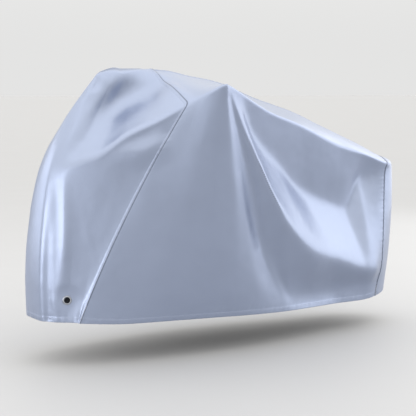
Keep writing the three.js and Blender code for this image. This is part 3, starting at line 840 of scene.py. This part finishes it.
def closed_sheet(name, points, normals, uvs, painted_shades, faces):
    """Gives the outer faces an inner layer and rims, and makes the object."""
    thickness = bpy.context.scene.cover_cloth.thickness
    used, faces = np.unique(faces, return_inverse=True)
    faces = faces.reshape(-1, 4)
    points, normals, uvs, painted_shades = points[used], normals[used], uvs[used], painted_shades[used]
    count = len(points)
    inner = points - thickness * MM * normals
    edges = np.vstack([faces[:, [k, (k + 1) % 4]] for k in range(4)])
    keys = np.sort(edges, axis=1)
    _, first, uses = np.unique(keys, axis=0, return_index=True, return_counts=True)
    rims = edges[first[uses == 1]]
    rim_faces = np.stack([rims[:, 1], rims[:, 0], rims[:, 0] + count, rims[:, 1] + count], -1)
    all_faces = np.vstack([faces, faces[:, ::-1] + count, rim_faces])
    materials = made_once(coated_polyester, "coating"), made_once(uncoated_back_with_painted_shade, "back")
    vertices = np.vstack([points, inner])
    piece = new_piece(name, vertices.tolist(), all_faces.tolist(), *materials)
    mesh = piece.data
    layer = mesh.uv_layers.new(name="cloth")
    loops = np.vstack([uvs, uvs])[all_faces.ravel()]
    layer.data.foreach_set("uv", loops.ravel())
    # The painted shade by the seams goes to the material as a point attribute
    shade = mesh.attributes.new("seam_shade", "FLOAT", "POINT")
    shade.data.foreach_set("value", np.concatenate([painted_shades, painted_shades]).astype(np.float32))
    side = np.zeros(len(all_faces), dtype=np.int32)
    side[len(faces) : 2 * len(faces)] = 1
    mesh.polygons.foreach_set("material_index", side)
    mesh.update()
    return piece


def eyelet_place(is_far):
    """Centre and outward axis of an eyelet, in the frame's metres."""
    centre, axis = form_points(*EYELET), form_normals(*EYELET)
    return to_frame(centre, is_far), to_frame_direction(axis, is_far)


def make_panel(name, panel, sides, nodes, holes=()):
    """Makes a panel's cloth, one closed sheet, from the grids of its sides."""
    parts = []
    for k, is_far in enumerate(sides):
        grid = panel_grid(panel, is_far)
        near_ids = np.arange(grid["shade"].size).reshape(grid["shade"].shape)
        ids = near_ids + k * near_ids.size
        for line in joined_lines(panel):
            ids[line] = near_ids[line]
        cloth = np.stack([grid["across"], grid["upward"]], -1) * MM
        parts.append((
            to_frame(grid["points"], is_far).reshape(-1, 3),
            to_frame_direction(grid["normals"], is_far).reshape(-1, 3),
            cloth.reshape(-1, 2),
            grid["shade"].ravel(),
            patch_faces(ids, is_far),
        ))
    points, normals, uvs, painted_shades, faces = (np.concatenate(rows) for rows in zip(*parts))
    for centre, axis, radius in holes:
        faces, points = punch(faces, points, centre, axis, radius)
    piece = closed_sheet(name, points, normals, uvs, painted_shades, faces)
    carried(piece, "coated_cloth", *nodes)


class COVER_OT_front_panel(bpy.types.Operator):
    """Makes the front panel, one piece of cloth from side to side, with its two eyelet holes."""

    bl_idname = "cover.front_panel"
    bl_label = "Front Panel"

    def execute(self, context):
        # The hole leaves room for the eyelet's barrel
        hole = context.scene.cover_eyelets.hole_radius + 3.5
        holes = [(*eyelet_place(is_far), hole * MM) for is_far in BOTH_SIDES]
        nodes = ("front_panel", "left_eyelet_strip", "right_eyelet_strip")
        make_panel("front_cloth", "front", BOTH_SIDES, nodes, holes)
        return {"FINISHED"}


class COVER_OT_side_panels(bpy.types.Operator):
    """Makes the two long side panels, which meet in the top centre seam."""

    bl_idname = "cover.side_panels"
    bl_label = "Side Panels"

    def execute(self, context):
        make_panel("left_cloth", "side", (False,), ["left_panel"])
        make_panel("right_cloth", "side", (True,), ["right_panel"])
        return {"FINISHED"}


class COVER_OT_rear_panel(bpy.types.Operator):
    """Makes the narrow rear panel, sewn on top of the side panels' ends."""

    bl_idname = "cover.rear_panel"
    bl_label = "Rear Panel"

    def execute(self, context):
        make_panel("rear_cloth", "rear", BOTH_SIDES, ["rear_panel"])
        return {"FINISHED"}


# Rings of one stitch: share of its half length, radius and lift of its middle, in millimetres
STITCH_RINGS = ((-1.0, 0.12, -0.15), (-0.6, 0.42, 0.12), (0.6, 0.42, 0.12), (1.0, 0.12, -0.15))
STITCH_SIDES = 6
RING_SIDES = 64


def round_about(across, up, sides):
    """Directions evenly round a circle."""
    turns = np.linspace(0, 2 * math.pi, sides, endpoint=False)
    return [across * math.cos(turn) + up * math.sin(turn) for turn in turns]


def stitch_run(points, normals, settings):
    """Vertices of a row of stitches along a line on the cloth, in millimetres."""
    lengths = running_lengths(points)
    count = int(lengths[-1] // settings.stitch_pitch)
    starts = (np.arange(count) + 0.5) * settings.stitch_pitch

    def between(values, places):
        return np.stack([np.interp(places, lengths, values[:, k]) for k in range(3)], -1)

    middle = between(points, starts)
    along = unit(between(points, starts + 1) - middle)
    up = unit(between(normals, starts))
    across = np.cross(up, along)
    spokes = round_about(across, up, STITCH_SIDES)
    vertices = []
    for share, radius, lift in STITCH_RINGS:
        centre = middle + along * share * settings.stitch_length / 2 + up * lift
        vertices += [centre + radius * spoke for spoke in spokes]
    return np.stack(vertices, 1)


def stitch_faces(start, is_far):
    """Faces of one stitch, with its vertices numbered from start."""
    sides, total = STITCH_SIDES, STITCH_SIDES * len(STITCH_RINGS)
    faces = [tuple(range(sides - 1, -1, -1)), tuple(range(total - sides, total))]
    for ring in range(0, total - sides, sides):
        for k in range(sides):
            a, b = ring + k, ring + (k + 1) % sides
            faces.append((a, b, b + sides, a + sides))
    step = -1 if is_far else 1
    return [[corner + start for corner in face[::step]] for face in faces]


def sew(name, runs, settings):
    """Joins rows of stitches in one piece."""
    vertices, faces = [], []
    total = 0
    for points, normals, is_far in runs:
        stitches = stitch_run(points, normals, settings)
        vertices.append(to_frame(stitches, is_far).reshape(-1, 3))
        for _ in stitches:
            faces += stitch_faces(total, is_far)
            total += stitches.shape[1]
    thread = made_once(polyester_thread, "thread")
    piece = new_piece(name, np.vstack(vertices).tolist(), faces, thread)
    carried(piece, "coated_cloth")


class COVER_OT_stitching(bpy.types.Operator):
    """Sews the stitches of the lapped seams and of the hem."""

    bl_idname = "cover.stitching"
    bl_label = "Stitching"

    def execute(self, context):
        rows = [SEAM_LINES.index(row) for row in STITCH_ROWS]
        along_hem = [np.s_[:, HEM_LINES.index(row)] for row in HEM_STITCH_ROWS]
        for name, panel, sides, lines in (
            ("front_seam_stitches", "front", BOTH_SIDES, [np.s_[-1 - row] for row in rows]),
            ("rear_seam_stitches", "rear", BOTH_SIDES, [np.s_[row] for row in rows]),
            ("top_seam_stitches", "side", (False,), [np.s_[:, -1 - row] for row in rows]),
            ("front_hem_stitches", "front", BOTH_SIDES, along_hem),
            ("left_hem_stitches", "side", (False,), along_hem),
            ("right_hem_stitches", "side", (True,), along_hem),
            ("rear_hem_stitches", "rear", BOTH_SIDES, along_hem),
        ):
            runs = []
            for is_far in sides:
                grid = panel_grid(panel, is_far)
                runs += [(grid["points"][line], grid["normals"][line], is_far) for line in lines]
            sew(name, runs, context.scene.cover_cloth)
        return {"FINISHED"}


class COVER_OT_eyelets(bpy.types.Operator):
    """Sets a crimped metal eyelet in each hole near the front hem."""

    bl_idname = "cover.eyelets"
    bl_label = "Eyelets"

    def execute(self, context):
        sizes = context.scene.cover_eyelets
        bore, rim, height = sizes.hole_radius, sizes.flange_radius, sizes.flange_height
        # The barrel's wall is 2.6 mm thick, with the cloth's raw edge turned in
        barrel = bore + 2.6
        # The outline of the metal, as radius and height above the cloth, round the section
        outline = (
            (bore, -2.0), (bore, 0.2), (bore + 0.4, height * 0.8), (bore + 1.6, height * 1.15),
            (bore + 4, height), (rim - 1.6, height * 0.75), (rim - 0.5, height * 0.5),
            (rim, height * 0.25), (rim - 0.4, 0.2), (rim - 1.5, 0.12), (barrel + 2, 0.12),
            (barrel, 0.0), (barrel, -2.4), (rim - 2, -2.5), (rim - 1.2, -2.8), (rim - 2, -3.3),
            (barrel, -3.5), (bore + 0.8, -3.3), (bore, -2.8),
        )
        metal = made_once(nickel_plate, "plating")
        for name, is_far in (("left_eyelet", False), ("right_eyelet", True)):
            piece = turned_ring(f"{name}_ring", outline, *eyelet_place(is_far), metal)
            carried(piece, "eyelet_metal", name)
        return {"FINISHED"}


def turned_ring(name, outline, centre, axis, material):
    """A ring turned from its section round the axis."""
    across = unit(np.cross(axis, (0.0, 0.0, 1.0)))
    spokes = round_about(across, np.cross(axis, across), RING_SIDES)
    vertices = [MM * (radius * spoke + lift * axis) for spoke in spokes for radius, lift in outline]
    ids = np.arange(len(vertices)).reshape(len(spokes), -1)
    faces = patch_faces(np.pad(ids, (0, 1), "wrap"), False)
    return new_piece(name, (centre + vertices).tolist(), faces.tolist(), material)


# The camera's place, and how it is turned: up from straight down, and from square to the side
CAMERA_PLACE = Vector((-2.7245, -4.152, 0.956))
CAMERA_TURN = Euler((math.radians(84.1), 0, math.radians(-32.4)))
CAMERA_LENS = 98.13
SENSOR_WIDTH = 36.0

# Each soft light: name, place, what it points at, its width and height, and its power
LIGHTS = (
    ("overhead", (-0.05, -0.4, 3.27), (-0.05, -0.2, -0.13), 5.0, 4.0, 20),
    ("right", (4.2, -0.4, 1.45), (0.05, 0.0, 0.5), 6.5, 3.0, 72),
    ("left", (-4.9, -1.6, 0.7), (-0.6, 0.0, 0.3), 2.6, 2.1, 50),
    ("fill", (-3.7, -4.1, 0.35), (-0.6, 0.0, 0.35), 3.2, 0.9, 8),
    ("front", (-4.1, 3.3, 1.4), (-0.6, 0.0, 0.4), 3.6, 3.0, 44),
)
FLOOR_HEIGHT = -0.131
FLOOR_SIZE = 400.0
# The sky is brighter overhead than near the horizon, as under a large cloth diffuser
SKY_HORIZON = (0.775, 0.775, 0.77, 1.0)
SKY_OVERHEAD = (1.56, 1.53, 1.46, 1.0)
# How high the sky turns from one to the other, as the upward part of a direction
SKY_TURN = (0.03, 0.5)


class COVER_OT_studio(bpy.types.Operator):
    """Sets the camera, the pale floor and the soft lights."""

    bl_idname = "cover.studio"
    bl_label = "Studio"

    def execute(self, context):
        scene = context.scene
        place_camera(scene)
        for light in LIGHTS:
            place_light(*light)
        world = bpy.data.worlds.new("studio_sky")
        world.use_nodes = True
        tree = world.node_tree
        place = add_node(tree, "TexCoord")
        parts = add_node(tree, "SeparateXYZ", {}, {"Vector": place.outputs["Generated"]})
        low, high = SKY_TURN
        rise = {"interpolation_type": "SMOOTHSTEP", "From Min": low, "From Max": high}
        height = add_node(tree, "MapRange", rise, {"Value": parts.outputs["Z"]})
        mix = {"data_type": "RGBA"}
        shade = add_node(tree, "Mix", mix, {"Factor": height.outputs["Result"]})
        shade.inputs[6].default_value = SKY_HORIZON
        shade.inputs[7].default_value = SKY_OVERHEAD
        tree.links.new(shade.outputs[2], tree.nodes["Background"].inputs["Color"])
        scene.world = world
        scene.view_settings.view_transform = "Standard"
        half = FLOOR_SIZE / 2
        corners = [(-half, -half), (half, -half), (half, half), (-half, half)]
        vertices = [(x, y, FLOOR_HEIGHT) for x, y in corners]
        paint = made_once(studio_floor, "floor")
        new_piece("floor", vertices, [(0, 1, 2, 3)], paint)
        return {"FINISHED"}


def place_camera(scene):
    """The camera stands and looks as the photograph's did."""
    camera = bpy.data.cameras.new("camera")
    camera.sensor_width = SENSOR_WIDTH
    camera.lens = CAMERA_LENS
    stand = new_object("camera", camera)
    stand.matrix_world = Matrix.LocRotScale(CAMERA_PLACE, CAMERA_TURN, None)
    scene.camera = stand


def place_light(name, place, aim, width, height, power):
    """A soft rectangular light that points at its aim."""
    light = bpy.data.lights.new(name, "AREA")
    light.shape = "RECTANGLE"
    light.size, light.size_y = width, height
    light.energy = power
    lamp = new_object(name, light)
    lamp.location = place
    lamp.visible_camera = False
    lamp.rotation_euler = (Vector(aim) - Vector(place)).to_track_quat("-Z", "Y").to_euler()


class COVER_PT_panel(bpy.types.Panel):
    """Lists the steps and sizes of the cover."""

    bl_idname = "COVER_PT_panel"
    bl_label = "Cloth Cover"
    bl_space_type = "VIEW_3D"
    bl_region_type = "UI"
    bl_category = "Cover"

    def draw(self, context):
        layout = self.layout
        for settings in SETTINGS:
            group = getattr(context.scene, settings)
            for name in group.__annotations__:
                layout.prop(group, name)
        for operator in OPERATORS:
            layout.operator(operator.bl_idname)


SETTINGS = {
    "cover_cloth": CoverClothSettings,
    "cover_eyelets": CoverEyeletSettings,
    "cover_colours": CoverColourSettings,
}
OPERATORS = (
    COVER_OT_studio,
    COVER_OT_front_panel,
    COVER_OT_side_panels,
    COVER_OT_rear_panel,
    COVER_OT_eyelets,
    COVER_OT_stitching,
)


def register():
    """Adds the settings, the operators and the panel to Blender."""
    for group in SETTINGS.values():
        bpy.utils.register_class(group)
    for operator in OPERATORS:
        bpy.utils.register_class(operator)
    bpy.utils.register_class(COVER_PT_panel)
    for name, group in SETTINGS.items():
        setattr(bpy.types.Scene, name, bpy.props.PointerProperty(type=group))


def unregister():
    """Takes the settings, the operators and the panel out of Blender."""
    for name in SETTINGS:
        delattr(bpy.types.Scene, name)
    bpy.utils.unregister_class(COVER_PT_panel)
    for operator in reversed(OPERATORS):
        bpy.utils.unregister_class(operator)
    for group in SETTINGS.values():
        bpy.utils.unregister_class(group)


def main():
    """Builds the whole scene."""
    register()
    bpy.ops.cover.studio()
    bpy.ops.cover.front_panel()
    bpy.ops.cover.side_panels()
    bpy.ops.cover.rear_panel()
    bpy.ops.cover.eyelets()
    bpy.ops.cover.stitching()


if __name__ == "__main__":
    main()
